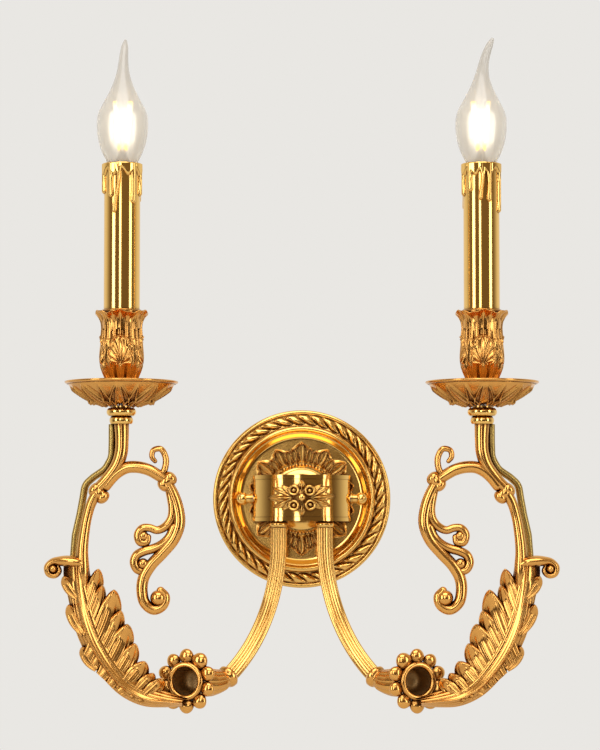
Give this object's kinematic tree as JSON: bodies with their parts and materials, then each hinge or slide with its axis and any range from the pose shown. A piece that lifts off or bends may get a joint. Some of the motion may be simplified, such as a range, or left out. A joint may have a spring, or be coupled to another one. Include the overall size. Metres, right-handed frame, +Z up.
{
  "type": "double arm wall sconce",
  "caption": "Brass candle-style wall light: round rope-edged wall plate, two curved arms with flower cups, leaf and scroll branches, drip pans and flame-tip bulbs.",
  "frame": {"origin": "centre of the round wall plate on the wall, midway between the two wall screws", "axes": "+Y into the wall, +Z up, X along the wall; the light stands out towards -Y"},
  "size_m": [0.3454, 0.1284, 0.457],
  "materials": {
    "polished_brass": "mirror polished, lacquered",
    "gilt_casting": "cast, gilded, satin in the hollows",
    "plain_tube": "drawn tube, lightly tarnished",
    "zinc_steel": "bright zinc plated",
    "brass_screw": "turned, bare",
    "white_plastic": "moulded, matt",
    "bulb_glass": "thin blown glass, pearly",
    "filament": "phosphor coated, glowing",
    "nickel_cap": "rolled thread, bright",
    "contact_black": "glassy insulator with a solder tip"
  },
  "bodies": {
    "sconce": {"wall_plate": "polished_brass", "mounting_strap": "zinc_steel", "mounting_yoke": "zinc_steel", "earth_screw": "brass_screw", "terminal_block": "white_plastic", "terminal_screws": "brass_screw", "body_housing": "polished_brass", "body_ornament": "gilt_casting", "ornament_screw": "zinc_steel", "arm_collar_left": "polished_brass", "arm_collar_right": "polished_brass", "arm_tube_left": "polished_brass", "arm_tube_right": "polished_brass", "arm_nut_left": "zinc_steel", "arm_nut_right": "zinc_steel", "flower_cup_left": "gilt_casting", "flower_cup_right": "gilt_casting", "leaf_arm_left": "gilt_casting", "leaf_arm_right": "gilt_casting", "scroll_branch_left": "gilt_casting", "scroll_branch_right": "gilt_casting", "conduit_left": "plain_tube", "conduit_right": "plain_tube", "neck_collar_left": "polished_brass", "neck_collar_right": "polished_brass", "drip_pan_left": "gilt_casting", "drip_pan_right": "gilt_casting", "candle_cup_left": "gilt_casting", "candle_cup_right": "gilt_casting", "threaded_nipple_left": "zinc_steel", "threaded_nipple_right": "zinc_steel", "nipple_nut_left": "zinc_steel", "nipple_nut_right": "zinc_steel", "holder_bracket_left": "zinc_steel", "holder_bracket_right": "zinc_steel", "lampholder_left": "white_plastic", "lampholder_right": "white_plastic", "holder_shell_left": "brass_screw", "holder_shell_right": "brass_screw", "holder_contact_left": "brass_screw", "holder_contact_right": "brass_screw"},
    "side_screw_left": {"side_screw_left": "zinc_steel"},
    "side_ball_left": {"side_ball_left": "polished_brass"},
    "candle_left": {"candle_sleeve_left": "polished_brass", "drip_cap_left": "polished_brass"},
    "bulb_contact_left": {"bulb_contact_left": "contact_black"},
    "bulb_left": {"bulb_glass_left": "bulb_glass", "bulb_filaments_left": "filament", "bulb_stem_left": "bulb_glass", "bulb_cap_left": "nickel_cap"},
    "side_screw_right": {"side_screw_right": "zinc_steel"},
    "side_ball_right": {"side_ball_right": "polished_brass"},
    "candle_right": {"candle_sleeve_right": "polished_brass", "drip_cap_right": "polished_brass"},
    "bulb_contact_right": {"bulb_contact_right": "contact_black"},
    "bulb_right": {"bulb_glass_right": "bulb_glass", "bulb_filaments_right": "filament", "bulb_stem_right": "bulb_glass", "bulb_cap_right": "nickel_cap"}
  },
  "joints": [
    {"name": "side_screw_left_travel", "type": "slide", "parent": "sconce", "child": "side_screw_left", "axis": [-1, 0, 0], "range_m": [0, 0.0098]},
    {"name": "side_screw_left_turn", "type": "hinge", "parent": "side_screw_left", "child": "side_ball_left", "pos_m": [-0.034, -0.0154, 0], "axis": [-1, 0, 0], "range_deg": [0, 5045]},
    {"name": "candle_left_turn", "type": "hinge", "parent": "sconce", "child": "candle_left", "pos_m": [-0.1218, -0.09, 0.15], "axis": [0, 0, 1], "continuous": true},
    {"name": "bulb_left_travel", "type": "slide", "parent": "sconce", "child": "bulb_contact_left", "axis": [0, 0, 1], "range_m": [0, 0.0171]},
    {"name": "bulb_left_turn", "type": "hinge", "parent": "bulb_contact_left", "child": "bulb_left", "pos_m": [-0.1218, -0.09, 0.21], "axis": [0, 0, 1], "range_deg": [0, 2160]},
    {"name": "side_screw_right_travel", "type": "slide", "parent": "sconce", "child": "side_screw_right", "axis": [1, 0, 0], "range_m": [0, 0.0098]},
    {"name": "side_screw_right_turn", "type": "hinge", "parent": "side_screw_right", "child": "side_ball_right", "pos_m": [0.034, -0.0154, 0], "axis": [1, 0, 0], "range_deg": [0, 5045]},
    {"name": "candle_right_turn", "type": "hinge", "parent": "sconce", "child": "candle_right", "pos_m": [0.1218, -0.09, 0.15], "axis": [0, 0, 1], "continuous": true},
    {"name": "bulb_right_travel", "type": "slide", "parent": "sconce", "child": "bulb_contact_right", "axis": [0, 0, 1], "range_m": [0, 0.0171]},
    {"name": "bulb_right_turn", "type": "hinge", "parent": "bulb_contact_right", "child": "bulb_right", "pos_m": [0.1218, -0.09, 0.21], "axis": [0, 0, 1], "range_deg": [0, 2160]}
  ],
  "couplings": [
    {"joint": "side_screw_left_turn", "follows": "side_screw_left_travel", "rad_per_m": 8976},
    {"joint": "bulb_left_travel", "follows": "bulb_left_turn", "m_per_rad": 0.00044882},
    {"joint": "side_screw_right_turn", "follows": "side_screw_right_travel", "rad_per_m": 8976},
    {"joint": "bulb_right_travel", "follows": "bulb_right_turn", "m_per_rad": 0.00044882}
  ]
}
